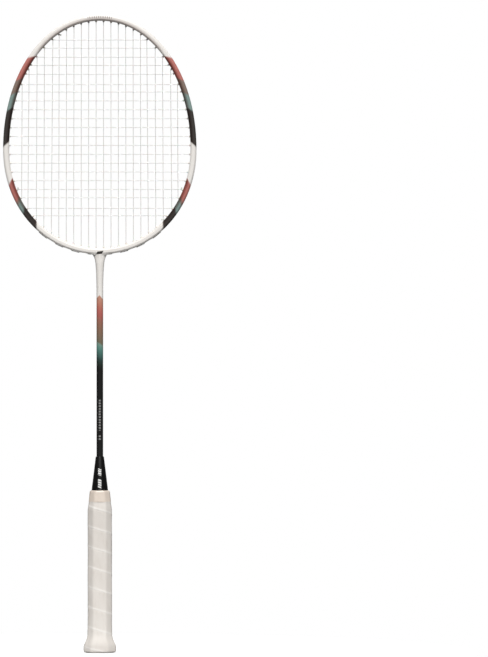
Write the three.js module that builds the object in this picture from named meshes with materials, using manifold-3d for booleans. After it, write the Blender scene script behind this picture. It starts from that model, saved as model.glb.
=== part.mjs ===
// Badminton racket: a strung graphite hoop, throat, shaft, cone and wrapped octagonal handle.
// Millimetres, +Z from the butt to the head, +X across the head, the hitting faces look along -Y and +Y.
// The origin is the centre of the butt's end face.
import * as THREE from "three";
import { mergeVertices } from "three/addons/utils/BufferGeometryUtils.js";
import Module from "manifold-3d";

const wasm = await Module();
wasm.setup();

// ---------------------------------------------------------------- driving dimensions

const FIT = 0.3; // gap left between two pieces that touch

const LENGTH = 675; // overall length
const HEAD_WIDTH = 204.6; // outside of the hoop
const HEAD_BOTTOM_Z = 421.5; // outer edge of the hoop at the throat
const HEAD_WIDEST_Z = 533;
const HEAD_ROUNDNESS = 2.05; // exponent of the superellipse, where 2 is an ellipse
const HEAD_STATIONS = 64; // straight facets round the hoop

const TUBE_WIDTH = 6.4; // in the plane of the strings
const TUBE_DEPTH = 9.6; // front to back
const TUBE_BEVEL = 1.6;
const TUBE_WALL = 1.0;
const GROOVE_WIDTH = 3.3;
const GROOVE_DEPTH = 1.7;

const STRING = 0.7;
const MAIN_PITCH = 8.3;
const MAINS_EACH_SIDE = 11;
const CROSS_PITCH = 9.67;
const CROSSES = 21;
const LOWEST_CROSS_Z = 459.4;
const SHARE_HOLE = 4.0; // two strings that meet the hoop closer than this pass through one hole
const STRING_OFFSET = 0.39; // mains lie in front of the mid-plane in the holes, crosses behind it

const HOLE_FLATS = 2.8;
const BARREL_FLATS = 2.2;
const BORE_FLATS = 1.7;
const BARREL_TIP = 1.4; // a barrel stands this far inside the hoop
const STRIP_THICKNESS = 0.4;
const STRIPS_EACH_SIDE = 6;

const THROAT_HALF = 16.6; // the throat piece takes the place of the hoop this far each side
const THROAT_BOTTOM_Z = 384;
const ARM_HALF = 25; // reach of the T-joint's arms into the hoop
const STEM_BOTTOM_Z = 350;

const SHAFT_DIAMETER = 7.0;
const SHAFT_BORE = 4.2;
const SHAFT_BOTTOM_Z = 84;

const CONE_BOTTOM_Z = 171.3;
const CONE_TOP_Z = 207.5;
const CONE_BOTTOM_DIAMETER = 17.5;
const CONE_TOP_DIAMETER = 8.4;

const CORE_WIDTH = 22.4; // wooden octagon, side to side
const CORE_DEPTH = 19.2; // front to back
const CORE_TOP_Z = 171;
const CAP_TOP_Z = 22;
const GRIP_TOP_Z = 160;

// ---------------------------------------------------------------- solids

// A closed geometry as a manifold-3d solid.
function solid(geometry) {
  const bare = geometry.clone();
  bare.deleteAttribute("normal");
  bare.deleteAttribute("uv");
  const merged = mergeVertices(bare, 1e-5);
  return new wasm.Manifold(
    new wasm.Mesh({
      numProp: 3,
      vertProperties: new Float32Array(merged.attributes.position.array),
      triVerts: new Uint32Array(merged.index.array),
    }),
  );
}

function geometryOf(manifold) {
  const mesh = manifold.getMesh();
  const geometry = new THREE.BufferGeometry();
  geometry.setAttribute("position", new THREE.BufferAttribute(mesh.vertProperties, 3));
  geometry.setIndex(new THREE.BufferAttribute(mesh.triVerts, 1));
  const flat = geometry.toNonIndexed();
  flat.computeVertexNormals();
  return flat;
}

const union = (solids) => wasm.Manifold.union(solids);

// Joins rings of equal length, each a list of [x, y, z], and closes the first and last with caps.
function loft(rings) {
  const count = rings[0].length;
  const index = [];
  for (let r = 0; r + 1 < rings.length; r++) {
    for (let k = 0; k < count; k++) {
      const next = (k + 1) % count;
      const a = r * count + k;
      const b = r * count + next;
      index.push(a, b, b + count, a, b + count, a + count);
    }
  }
  const cap = capTriangles(rings[0]);
  const last = (rings.length - 1) * count;
  for (const [a, b, c] of cap) {
    index.push(a, c, b, last + a, last + b, last + c);
  }
  const geometry = new THREE.BufferGeometry();
  geometry.setAttribute("position", new THREE.Float32BufferAttribute(rings.flat(2), 3));
  geometry.setIndex(index);
  const made = solid(geometry);
  if (made.volume() > 0) return made;
  const turned = [];
  for (let i = 0; i < index.length; i += 3) turned.push(index[i], index[i + 2], index[i + 1]);
  geometry.setIndex(turned);
  return solid(geometry);
}

// A fan is enough, because every ring here is convex.
function capTriangles(ring) {
  return ring.slice(2).map((_, k) => [0, k + 1, k + 2]);
}

// A solid of revolution about Z from [radius, z] points, which run up the outside and down the bore.
function turned(profile, segments = 24) {
  const points = profile.map(([radius, z]) => new THREE.Vector2(radius, z));
  const geometry = new THREE.LatheGeometry([...points, points[0].clone()], segments);
  geometry.rotateX(Math.PI / 2);
  const made = solid(geometry);
  if (made.volume() < 0) throw new Error("a turned profile runs the wrong way round");
  return made;
}

function box(low, high) {
  const size = high.map((value, k) => value - low[k]);
  const geometry = new THREE.BoxGeometry(...size);
  geometry.translate(...low.map((value, k) => value + size[k] / 2));
  return solid(geometry);
}

// A six-sided prism between two points at the same depth, measured across its flats. Two of its
// corners point to the front and the back.
function prism(from, to, acrossFlats) {
  const axis = new THREE.Vector3().subVectors(to, from);
  const radius = acrossFlats / Math.sqrt(3);
  const geometry = new THREE.CylinderGeometry(radius, radius, axis.length(), 6);
  const back = new THREE.Vector3(0, 1, 0);
  const along = axis.normalize();
  geometry.applyMatrix4(new THREE.Matrix4().makeBasis(along.clone().cross(back), along, back));
  geometry.translate(...from.clone().add(to).multiplyScalar(0.5).toArray());
  return solid(geometry);
}

function part(name, shape, colour, roughness, metalness = 0) {
  const material = new THREE.MeshStandardMaterial({ color: colour, roughness, metalness });
  const mesh = new THREE.Mesh(geometryOf(shape), material);
  mesh.name = name;
  return mesh;
}

// ---------------------------------------------------------------- the line of the hoop

// The hoop's centreline is two half superellipses that meet at the widest place. It is walked from
// the throat up the +X side, over the top and down the -X side, and cut into equal straight facets.
function centreline() {
  const half = HEAD_WIDTH / 2 - TUBE_WIDTH / 2;
  const above = LENGTH - TUBE_WIDTH / 2 - HEAD_WIDEST_Z;
  const below = HEAD_WIDEST_Z - HEAD_BOTTOM_Z - TUBE_WIDTH / 2;
  const bend = 2 / HEAD_ROUNDNESS;
  const fine = [];
  const steps = 5760;
  for (let k = 0; k <= steps; k++) {
    const turn = (k / steps) * 2 * Math.PI - Math.PI / 2;
    const [c, s] = [Math.cos(turn), Math.sin(turn)];
    const x = half * Math.sign(c) * Math.abs(c) ** bend;
    const z = (s > 0 ? above : below) * Math.sign(s) * Math.abs(s) ** bend;
    fine.push(new THREE.Vector2(Math.abs(c) < 1e-9 ? 0 : x, HEAD_WIDEST_Z + z));
  }
  const walked = [0];
  for (let k = 1; k <= steps; k++) walked.push(walked[k - 1] + fine[k].distanceTo(fine[k - 1]));
  const length = walked[steps];
  const stations = [];
  let k = 0;
  for (let i = 0; i < HEAD_STATIONS; i++) {
    const wanted = (i / HEAD_STATIONS) * length;
    while (walked[k + 1] < wanted) k++;
    const part = (wanted - walked[k]) / (walked[k + 1] - walked[k]);
    const point = fine[k].clone().lerp(fine[k + 1], part);
    const before = fine[(k - 8 + steps) % steps];
    const after = fine[(k + 9) % steps];
    const along = new THREE.Vector2().subVectors(after, before).normalize();
    stations.push({ point, normal: new THREE.Vector2(along.y, -along.x) });
  }
  return { length, stations };
}

const HOOP = centreline();
const HOOP_STEP = HOOP.length / HEAD_STATIONS;

// The point that is `walk` mm round the hoop from the throat, `out` mm outside its centreline
// and `y` mm behind its mid-plane. A negative walk goes up the -X side.
function onHoop(walk, out, y = 0) {
  const place = (((walk / HOOP.length) % 1) + 1) % 1 * HEAD_STATIONS;
  const first = HOOP.stations[Math.floor(place) % HEAD_STATIONS];
  const second = HOOP.stations[(Math.floor(place) + 1) % HEAD_STATIONS];
  const share = place - Math.floor(place);
  const point = first.point.clone().lerp(second.point, share);
  const normal = first.normal.clone().lerp(second.normal, share);
  return new THREE.Vector3(point.x + normal.x * out, y, point.y + normal.y * out);
}

// The walks of a stretch: its two ends and every facet corner between them.
function walksBetween(from, to) {
  const walks = [from];
  for (let k = Math.floor(from / HOOP_STEP) + 1; k * HOOP_STEP < to; k++) {
    if (k * HOOP_STEP - from > 0.2 && to - k * HOOP_STEP > 0.2) walks.push(k * HOOP_STEP);
  }
  return [...walks, to];
}

// A convex section of [out, y] points carried round the hoop.
function alongHoop(section, from, to) {
  return loft(
    walksBetween(from, to).map((walk) => section.map(([out, y]) => onHoop(walk, out, y).toArray())),
  );
}

const rectangle = (outLow, outHigh, halfDepth) => [
  [outLow, -halfDepth],
  [outHigh, -halfDepth],
  [outHigh, halfDepth],
  [outLow, halfDepth],
];

function tubeSection() {
  const [u, v, bevel] = [TUBE_WIDTH / 2, TUBE_DEPTH / 2, TUBE_BEVEL];
  return [
    [u, -v + bevel],
    [u, v - bevel],
    [u - bevel, v],
    [-u + bevel, v],
    [-u, v - bevel],
    [-u, -v + bevel],
    [-u + bevel, -v],
    [u - bevel, -v],
  ];
}

const GROOVE_FLOOR = TUBE_WIDTH / 2 - GROOVE_DEPTH;
const grooveSection = rectangle(GROOVE_FLOOR, TUBE_WIDTH / 2 + 2, GROOVE_WIDTH / 2);
const CAVITY_IN = -TUBE_WIDTH / 2 + TUBE_WALL;
const CAVITY_OUT = GROOVE_FLOOR - TUBE_WALL - 0.1;
const CAVITY_HALF_DEPTH = TUBE_DEPTH / 2 - TUBE_WALL - 0.1;
const cavitySection = rectangle(CAVITY_IN, CAVITY_OUT, CAVITY_HALF_DEPTH);

// ---------------------------------------------------------------- where strings meet the hoop

// Walks at which the hoop crosses the line x = value (or z = value), on the +X side.
function crossingWalks(axis, value) {
  const found = [];
  const step = 0.05;
  for (let walk = step; walk < HOOP.length / 2; walk += step) {
    const [a, b] = [onHoop(walk - step, 0), onHoop(walk, 0)];
    if ((a[axis] - value) * (b[axis] - value) <= 0) found.push(walk - step / 2);
  }
  return found;
}

// Every string end on the +X side, in order from the throat.
function stringEnds() {
  const ends = [];
  for (let k = 1; k <= MAINS_EACH_SIDE; k++) {
    const walks = crossingWalks("x", (k - 0.5) * MAIN_PITCH);
    ends.push({ walk: walks[0], string: `main${k}bottom` });
    ends.push({ walk: walks[walks.length - 1], string: `main${k}top` });
  }
  for (let k = 1; k <= CROSSES; k++) {
    const walks = crossingWalks("z", LOWEST_CROSS_Z + (k - 1) * CROSS_PITCH);
    ends.push({ walk: walks[0], string: `cross${k}` });
  }
  return ends.sort((a, b) => a.walk - b.walk);
}

// The holes of one side. Each is straight, from a point inside the hoop to a point in the groove.
// The two holes next to the neck lean away from it, so that their strings come out beside it.
function holesOfSide(side) {
  const groups = [];
  for (const end of stringEnds()) {
    const last = groups[groups.length - 1];
    if (last && last.length === 1 && end.walk - last[0].walk < SHARE_HOLE) last.push(end);
    else groups.push([end]);
  }
  return groups.map((group) => {
    const middle = group.reduce((sum, end) => sum + end.walk, 0) / group.length;
    const leans = group[0].string === "main1bottom";
    const walkIn = side * middle;
    const walkOut = side * (leans ? middle + 4.1 : middle);
    return { side, walkIn, walkOut, strings: group.map((end) => end.string) };
  });
}

const HOLES = { right: holesOfSide(1), left: holesOfSide(-1) };
const ALL_HOLES = [...HOLES.right, ...HOLES.left];
const RIBBON_TOP = GROOVE_FLOOR + FIT + STRIP_THICKNESS;

// The point on a hole's axis that is `out` mm outside the centreline, `y` mm behind the mid-plane.
function inHole(hole, out, y = 0) {
  const inner = onHoop(hole.walkIn, -TUBE_WIDTH / 2);
  const outer = onHoop(hole.walkOut, RIBBON_TOP);
  const share = (out + TUBE_WIDTH / 2) / (RIBBON_TOP + TUBE_WIDTH / 2);
  const point = inner.clone().lerp(outer, share);
  return new THREE.Vector3(point.x, y, point.z);
}

const drills = () =>
  union(ALL_HOLES.map((hole) => prism(inHole(hole, -TUBE_WIDTH), inHole(hole, TUBE_WIDTH), HOLE_FLATS)));

// ---------------------------------------------------------------- the frame

function hoop() {
  const [from, to] = [THROAT_HALF + FIT, HOOP.length - THROAT_HALF - FIT];
  const tube = alongHoop(tubeSection(), from, to);
  const cavity = alongHoop(cavitySection, from - 2, to + 2);
  const groove = alongHoop(grooveSection, from - 2, to + 2);
  return tube.subtract(cavity).subtract(groove).subtract(drills());
}

const ellipse = (width, depth, z, count = 16) =>
  Array.from({ length: count }, (_, k) => {
    const turn = (k / count) * 2 * Math.PI;
    return [(width / 2) * Math.cos(turn), (depth / 2) * Math.sin(turn), z];
  });

// The neck swells from the round shaft to the hoop, with a fillet under the hoop on each side.
function neck() {
  return loft([
    ellipse(7.1, 7.1, THROAT_BOTTOM_Z),
    ellipse(7.5, 7.4, 394),
    ellipse(8.5, 7.9, 404),
    ellipse(9.4, 8.4, 410),
    ellipse(10.3, 8.8, 415.5),
    ellipse(11.6, 9.0, 418),
    ellipse(13.6, 9.2, 420),
    ellipse(15.6, 9.3, 421.6),
    ellipse(15.6, 9.3, 424),
  ]);
}

// The groove stops beside the neck, under the end of the grommet strip.
function throat() {
  const bar = alongHoop(tubeSection(), -THROAT_HALF, THROAT_HALF);
  const hollow = alongHoop(cavitySection, -THROAT_HALF - 2, THROAT_HALF + 2);
  const grooveEnd = 6.3;
  const grooves = [
    alongHoop(grooveSection, grooveEnd, THROAT_HALF + 2),
    alongHoop(grooveSection, -THROAT_HALF - 2, -grooveEnd),
  ];
  const stemBore = turned([[0, 380], [SHAFT_BORE / 2, 380], [SHAFT_BORE / 2, 425], [0, 425]], 12);
  return union([bar, neck()]).subtract(union([hollow, stemBore, ...grooves, drills()]));
}

// The T-joint lies inside: its arms enter the two ends of the hoop and its stem enters the shaft.
function tJoint() {
  const arms = alongHoop(
    rectangle(CAVITY_IN + FIT, CAVITY_OUT - FIT, CAVITY_HALF_DEPTH - FIT),
    -ARM_HALF,
    ARM_HALF,
  );
  const radius = SHAFT_BORE / 2 - FIT;
  const stem = turned([[0, STEM_BOTTOM_Z], [radius, STEM_BOTTOM_Z], [radius, 425.5], [0, 425.5]], 12);
  return union([arms, stem]).subtract(drills());
}

function shaft() {
  const [bore, outside] = [SHAFT_BORE / 2, SHAFT_DIAMETER / 2];
  const top = THROAT_BOTTOM_Z - FIT;
  return turned([
    [bore, SHAFT_BOTTOM_Z],
    [outside, SHAFT_BOTTOM_Z],
    [outside, top],
    [bore, top],
  ]);
}

// ---------------------------------------------------------------- grommet strips

// One strip: a ribbon in the groove that links its barrels, with a bore for the strings in each.
function grommetStrip(holes) {
  const walks = holes.map((hole) => hole.walkOut);
  const margin = 1.8;
  const ribbon = alongHoop(
    rectangle(GROOVE_FLOOR + FIT, RIBBON_TOP, BARREL_FLATS / 2 + 0.05),
    Math.min(...walks) - margin,
    Math.max(...walks) + margin,
  );
  const tip = -TUBE_WIDTH / 2 - BARREL_TIP;
  const middle = RIBBON_TOP - STRIP_THICKNESS / 2;
  const barrels = holes.map((hole) => prism(inHole(hole, tip), inHole(hole, middle), BARREL_FLATS));
  const bores = holes.map((hole) => prism(inHole(hole, tip - 1), inHole(hole, RIBBON_TOP + 1), BORE_FLATS));
  return union([ribbon, ...barrels]).subtract(union(bores));
}

// The holes of a side, dealt out in turn from the throat into strips of nearly equal number.
function stripsOfSide(holes) {
  const cut = (k) => Math.round((k * holes.length) / STRIPS_EACH_SIDE);
  return Array.from({ length: STRIPS_EACH_SIDE }, (_, k) => holes.slice(cut(k), cut(k + 1)));
}

// ---------------------------------------------------------------- strings

const STRING_HALF = (STRING / 2) * Math.sqrt(Math.PI / 4); // a square of the string's own area
const LOOP_OUT = RIBBON_TOP + STRING_HALF + 0.14;
const TIP_OUT = -TUBE_WIDTH / 2 - BARREL_TIP - 0.3;

// A string of square section along a polyline, mitred at its bends.
function stringAlong(points) {
  const square = [[-1, -1], [1, -1], [1, 1], [-1, 1]];
  const rings = points.map((point, k) => {
    const before = k > 0 ? point.clone().sub(points[k - 1]).normalize() : null;
    const after = k + 1 < points.length ? points[k + 1].clone().sub(point).normalize() : null;
    const along = before ?? after;
    const cut = new THREE.Vector3().add(before ?? after).add(after ?? before).normalize();
    const side = new THREE.Vector3(0, 1, 0).cross(along).normalize();
    const up = along.clone().cross(side);
    return square.map(([a, b]) => {
      const corner = side.clone().multiplyScalar(a).addScaledVector(up, b).multiplyScalar(STRING_HALF);
      corner.addScaledVector(along, -corner.dot(cut) / along.dot(cut));
      return corner.add(point).toArray();
    });
  });
  return loft(rings);
}

const holeOf = (side, string) => HOLES[side].find((hole) => hole.strings.includes(string));

// Out of one hole, along the groove and into the next, for a string that lies at `y`.
function loopPoints(from, to, y) {
  const forward = Math.sign(to.walkOut - from.walkOut);
  const [start, end] = [from.walkOut + forward * 0.9, to.walkOut - forward * 0.9];
  const walks = walksBetween(Math.min(start, end), Math.max(start, end));
  if (forward < 0) walks.reverse();
  return [
    inHole(from, TIP_OUT, y),
    inHole(from, RIBBON_TOP - 0.6, y),
    onHoop(from.walkOut + forward * 0.25, RIBBON_TOP + 0.1, y),
    ...walks.map((walk) => onHoop(walk, LOOP_OUT, y)),
    onHoop(to.walkOut - forward * 0.25, RIBBON_TOP + 0.1, y),
    inHole(to, RIBBON_TOP - 0.6, y),
    inHole(to, TIP_OUT, y),
  ];
}

// The end of a string: from its knot inside the hoop, out of one hole and back in through the next.
// The knot lies beside the barrel's tip, on the side away from the next hole.
function tailPoints(knotHole, hole, y) {
  const aside = 1.4 * Math.sign(knotHole.walkOut - hole.walkOut);
  const along = onHoop(knotHole.walkIn + aside, 0).sub(onHoop(knotHole.walkIn, 0));
  const knot = inHole(knotHole, TIP_OUT - 0.9, y).add(along);
  return { knot, points: [knot, ...loopPoints(knotHole, hole, y)] };
}

const knotSolid = (centre) => {
  const geometry = new THREE.IcosahedronGeometry(0.95, 0);
  geometry.translate(...centre.toArray());
  return solid(geometry);
};

// The straight stretch of a main between its two barrels, settling on the mid-plane after each.
const SETTLE = 3.5;
function mainStretch(side, k) {
  const low = inHole(holeOf(side, `main${k}bottom`), TIP_OUT);
  const high = inHole(holeOf(side, `main${k}top`), TIP_OUT);
  return { low, high };
}

const MAINS = [
  ...Array.from({ length: MAINS_EACH_SIDE }, (_, k) => mainStretch("left", MAINS_EACH_SIDE - k)),
  ...Array.from({ length: MAINS_EACH_SIDE }, (_, k) => mainStretch("right", k + 1)),
];

function settledPoints({ low, high }) {
  const up = high.clone().sub(low).normalize();
  return [low.clone().addScaledVector(up, SETTLE), high.clone().addScaledVector(up, -SETTLE)];
}

// The mains are one string. It starts at the top between the two middle mains and loops from main
// to main on both sides, at the bottom and the top by turns, and ends low on the outermost mains.
function mainString() {
  const halves = ["left", "right"].map((side) => {
    const points = [];
    for (let k = 1; k <= MAINS_EACH_SIDE; k++) {
      const stretch = settledPoints(mainStretch(side, k));
      const downwards = k % 2 === 1;
      points.push(...(downwards ? [...stretch].reverse() : stretch));
      const end = downwards ? "bottom" : "top";
      if (k < MAINS_EACH_SIDE) {
        const [here, next] = [k, k + 1].map((n) => holeOf(side, `main${n}${end}`));
        points.push(...loopPoints(here, next, -STRING_OFFSET));
      }
    }
    const last = holeOf(side, `main${MAINS_EACH_SIDE}bottom`);
    const knotHole = HOLES[side][HOLES[side].indexOf(last) + 1];
    const tail = tailPoints(knotHole, last, -STRING_OFFSET);
    return { points: [...points, ...tail.points.reverse()], knot: tail.knot };
  });
  const [left, right] = halves;
  const top = loopAcrossTop(holeOf("left", "main1top"), holeOf("right", "main1top"), -STRING_OFFSET);
  const whole = stringAlong([...[...left.points].reverse(), ...top, ...right.points]);
  return union([whole, knotSolid(left.knot), knotSolid(right.knot)]);
}

// The first loop passes over the top of the hoop, where the two sides' walks meet.
function loopAcrossTop(left, right, y) {
  const leftAsRight = { ...left, walkIn: left.walkIn + HOOP.length, walkOut: left.walkOut + HOOP.length };
  return loopPoints(leftAsRight, right, y);
}

// A cross runs from barrel to barrel, before one main and behind the next.
const WEAVE = 0.78;
function crossPoints(k) {
  const [left, right] = ["left", "right"].map((side) => inHole(holeOf(side, `cross${k}`), TIP_OUT));
  const points = [];
  MAINS.forEach(({ low, high }, n) => {
    const rise = (right.z - left.z) / (right.x - left.x);
    const z = left.z + rise * ((low.x + high.x) / 2 - left.x);
    const share = (z - low.z) / (high.z - low.z);
    const x = low.x + share * (high.x - low.x);
    const room = Math.min(z - low.z, high.z - z);
    if (room < 0.5 || x - left.x < 1 || right.x - x < 1) return;
    const mainY = -STRING_OFFSET * Math.max(0, 1 - room / SETTLE);
    points.push(new THREE.Vector3(x, mainY + ((n + k) % 2 ? WEAVE : -WEAVE), z));
  });
  return points;
}

// The crosses are the second string. It starts on the left at the top cross and works down.
function crossString() {
  const first = holeOf("left", `cross${CROSSES}`);
  const firstKnotHole = HOLES.left[HOLES.left.indexOf(first) + 1];
  const start = tailPoints(firstKnotHole, first, STRING_OFFSET);
  const points = [...start.points];
  for (let k = CROSSES; k >= 1; k--) {
    const rightwards = (CROSSES - k) % 2 === 0;
    const stretch = crossPoints(k);
    points.push(...(rightwards ? stretch : stretch.reverse()));
    const side = rightwards ? "right" : "left";
    const here = holeOf(side, `cross${k}`);
    if (k > 1) points.push(...loopPoints(here, holeOf(side, `cross${k - 1}`), STRING_OFFSET));
  }
  const last = holeOf("right", "cross1");
  const lastKnotHole = HOLES.right[HOLES.right.indexOf(last) - 1];
  const end = tailPoints(lastKnotHole, last, STRING_OFFSET);
  const whole = stringAlong([...points, ...end.points.reverse()]);
  return union([whole, knotSolid(start.knot), knotSolid(end.knot)]);
}

// ---------------------------------------------------------------- the handle

// An octagon across X and Y with its corners cut at 45 degrees.
function octagon(width, depth, z, cut = 0.25 * width) {
  const [x, y] = [width / 2, depth / 2];
  return [
    [x, -y + cut, z],
    [x, y - cut, z],
    [x - cut, y, z],
    [-x + cut, y, z],
    [-x, y - cut, z],
    [-x, -y + cut, z],
    [-x + cut, -y, z],
    [x - cut, -y, z],
  ];
}

const octagonLoft = (stations, grow = 0) =>
  loft(stations.map(([z, width, depth]) => octagon(width + grow, depth + grow, z)));

// A hollow cone that stands on the end of the wood and hugs the shaft, with a small rim at its foot.
function cone() {
  const [foot, top] = [CONE_BOTTOM_DIAMETER / 2, CONE_TOP_DIAMETER / 2];
  const bore = SHAFT_DIAMETER / 2 + FIT;
  return turned([
    [6.9, CONE_BOTTOM_Z],
    [foot, CONE_BOTTOM_Z],
    [foot, CONE_BOTTOM_Z + 1],
    [foot - 0.35, CONE_BOTTOM_Z + 1.5],
    [top, CONE_TOP_Z - 0.6],
    [top - 0.2, CONE_TOP_Z],
    [bore, CONE_TOP_Z],
    [bore, CONE_BOTTOM_Z + 9],
    [6.9, CONE_BOTTOM_Z + 6.5],
  ]);
}

const CAP_STATIONS = [
  [0, 28.6, 26],
  [1.2, 30, 27.4],
  [6.5, 30, 27.4],
  [9, 29.2, 26.6],
  [13.3, 26.4, 23.6],
  [17.6, 23.9, 21],
  [CAP_TOP_Z, 22.6, 19.5],
];
const SPIGOT = [17.5, 14.5];
const CAP_FLOOR = 2.7;

// The wood: a tenon in the butt cap, the octagonal grip, and a round tenon that the cone sits over.
function handleCore() {
  const wood = octagonLoft([
    [CAP_TOP_Z + FIT, CORE_WIDTH, CORE_DEPTH],
    [150, CORE_WIDTH, CORE_DEPTH],
    [GRIP_TOP_Z, 21.4, 18.6],
    [CORE_TOP_Z, 19.1, 17.4],
  ]);
  const tenon = octagonLoft([
    [CAP_FLOOR + FIT, ...SPIGOT],
    [CAP_TOP_Z + 2, ...SPIGOT],
  ]);
  const collar = turned([[0, 165], [6.5, 165], [6.5, 177], [0, 177]]);
  const bore = turned([[0, 0], [SHAFT_DIAMETER / 2 + FIT, 0], [SHAFT_DIAMETER / 2 + FIT, 180], [0, 180]]);
  return union([wood, tenon, collar]).subtract(union([bore, stapleShape(FIT), ...bradShapes(FIT)]));
}

const DISC_RADIUS = 9;
const DISC_THICKNESS = 1;

function buttCap() {
  const pocket = octagonLoft([
    [CAP_FLOOR, SPIGOT[0] + 2 * FIT, SPIGOT[1] + 2 * FIT],
    [CAP_TOP_Z + 1, SPIGOT[0] + 2 * FIT, SPIGOT[1] + 2 * FIT],
  ]);
  const [radius, depth] = [DISC_RADIUS + FIT, DISC_THICKNESS + FIT];
  const recess = turned([[0, -1], [radius, -1], [radius, depth], [0, depth]]);
  return octagonLoft(CAP_STATIONS).subtract(union([pocket, recess, ...bradShapes(FIT)]));
}

const buttDisc = () => turned([[0, 0], [DISC_RADIUS, 0], [DISC_RADIUS, DISC_THICKNESS], [0, DISC_THICKNESS]]);

// A U of flat wire driven into the back of the wood, under the start of the grip tape.
function stapleShape(grow = 0) {
  const back = CORE_DEPTH / 2 - 0.3;
  const wire = 0.7;
  const crown = box([-5 - grow, back - wire - grow, 30 - grow], [5 + grow, back + 3 * grow, 30 + wire + grow]);
  const leg = (x) =>
    box([x - grow, back - 4 - grow, 30 - grow], [x + wire + grow, back - wire / 2, 30 + wire + grow]);
  return union([crown, leg(-5), leg(5 - wire)]);
}

// Two short brads hold the cap to the tenon, one through each side.
function bradShapes(grow = 0) {
  return [-1, 1].map((side) => {
    const outer = 12.2;
    const shank = prism(
      new THREE.Vector3(side * (6.2 - grow), 0, 15),
      new THREE.Vector3(side * (outer + 3 * grow), 0, 15),
      1.2 + 2 * grow,
    );
    const head = prism(
      new THREE.Vector3(side * (outer - 0.6 - grow), 0, 15),
      new THREE.Vector3(side * (outer + 4 * grow), 0, 15),
      2.4 + 2 * grow,
    );
    return union([shank, head]);
  });
}

// The grip tape as one sleeve over the cap and the wood, flared at the butt.
function gripTape() {
  const inside = octagonLoft([...capInside(), [GRIP_TOP_Z + 1, 21.4 + 0.4, 18.6 + 0.4]]);
  const outside = octagonLoft([
    [0.6, 33, 30.2],
    [2.2, 34, 31.2],
    [6.5, 34, 31.2],
    [9, 33.2, 30.3],
    [13.3, 30.4, 27.2],
    [17.6, 27.9, 24.7],
    [22, 26.6, 23.3],
    [27, 25.9, 22.6],
    [151, 25.9, 22.6],
    [155.5, 25, 21.9],
    [GRIP_TOP_Z - FIT, 23.4, 20.6],
  ]);
  return outside.subtract(inside);
}

function capInside() {
  const room = 2 * FIT;
  return [
    [-1, 27.4 + room, 24.8 + room],
    ...CAP_STATIONS.slice(1).map(([z, width, depth]) => [z, width + room, depth + room]),
    [CAP_TOP_Z + 1.5, CORE_WIDTH + room, CORE_DEPTH + room],
    [150, CORE_WIDTH + room, CORE_DEPTH + room],
  ];
}

// The narrow band of tape that closes the top of the grip.
function finishingTape() {
  const inside = octagonLoft([
    [GRIP_TOP_Z - 1, 21.6 + 2 * FIT, 18.7 + 2 * FIT],
    [GRIP_TOP_Z, 21.4 + 2 * FIT, 18.6 + 2 * FIT],
    [CORE_TOP_Z, 19.1 + 2 * FIT, 17.4 + 2 * FIT],
    [CORE_TOP_Z + 1, 19.1 + 2 * FIT, 17.4 + 2 * FIT],
  ]);
  const outside = octagonLoft([
    [GRIP_TOP_Z, 23, 20.2],
    [CORE_TOP_Z, 20.9, 19],
  ]);
  return outside.subtract(inside);
}

// ---------------------------------------------------------------- the racket

const WHITE = 0xf2ece4;

function racket() {
  const group = new THREE.Group();
  group.add(
    part("hoop", hoop(), WHITE, 0.3),
    part("throat", throat(), WHITE, 0.3),
    part("t_joint", tJoint(), 0x2b2b2d, 0.6),
    part("shaft", shaft(), 0x1c1b1c, 0.25),
    part("cone", cone(), 0x141414, 0.2),
    part("handle_core", handleCore(), 0xc9a26e, 0.7),
    part("butt_cap", buttCap(), 0x202020, 0.45),
    part("butt_disc", buttDisc(), 0xb9bbbd, 0.4),
    part("grip_staple", stapleShape(), 0xa8a9ad, 0.35, 0.9),
    part("grip_tape", gripTape(), 0xe6e0da, 0.7),
    part("finishing_tape", finishingTape(), 0xcfc2b2, 0.5),
    part("main_string", mainString(), 0xf4f4f0, 0.4),
    part("cross_string", crossString(), 0xf4f4f0, 0.4),
  );
  const [leftBrad, rightBrad] = bradShapes();
  group.add(part("cap_brad_left", leftBrad, 0xa8a9ad, 0.35, 0.9));
  group.add(part("cap_brad_right", rightBrad, 0xa8a9ad, 0.35, 0.9));
  for (const side of ["left", "right"]) {
    stripsOfSide(HOLES[side]).forEach((holes, k) => {
      group.add(part(`grommet_strip_${side}_${k + 1}`, grommetStrip(holes), 0xd8d6d2, 0.5));
    });
  }
  return group;
}

export default racket();
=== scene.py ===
"""The looks of a badminton racket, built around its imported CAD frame, in metres."""

import math

import bpy
import mathutils
import numpy as np
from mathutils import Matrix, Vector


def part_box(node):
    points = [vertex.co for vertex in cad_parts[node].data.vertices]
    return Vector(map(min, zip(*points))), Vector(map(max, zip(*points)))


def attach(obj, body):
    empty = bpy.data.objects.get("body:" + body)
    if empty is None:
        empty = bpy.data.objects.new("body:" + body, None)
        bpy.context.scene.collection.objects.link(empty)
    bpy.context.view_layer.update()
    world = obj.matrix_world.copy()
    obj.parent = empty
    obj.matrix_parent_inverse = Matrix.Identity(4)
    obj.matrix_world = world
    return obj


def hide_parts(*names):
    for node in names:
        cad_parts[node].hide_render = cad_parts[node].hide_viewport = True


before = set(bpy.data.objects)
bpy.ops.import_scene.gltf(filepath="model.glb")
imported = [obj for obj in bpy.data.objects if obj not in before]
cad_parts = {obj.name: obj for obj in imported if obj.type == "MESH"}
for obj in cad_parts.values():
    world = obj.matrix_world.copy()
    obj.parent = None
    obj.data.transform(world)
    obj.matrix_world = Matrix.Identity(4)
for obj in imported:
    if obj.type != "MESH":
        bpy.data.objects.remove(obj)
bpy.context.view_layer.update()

MM = 0.001
BACK = np.array([0.0, 1.0, 0.0])

# -------- sizes

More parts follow.
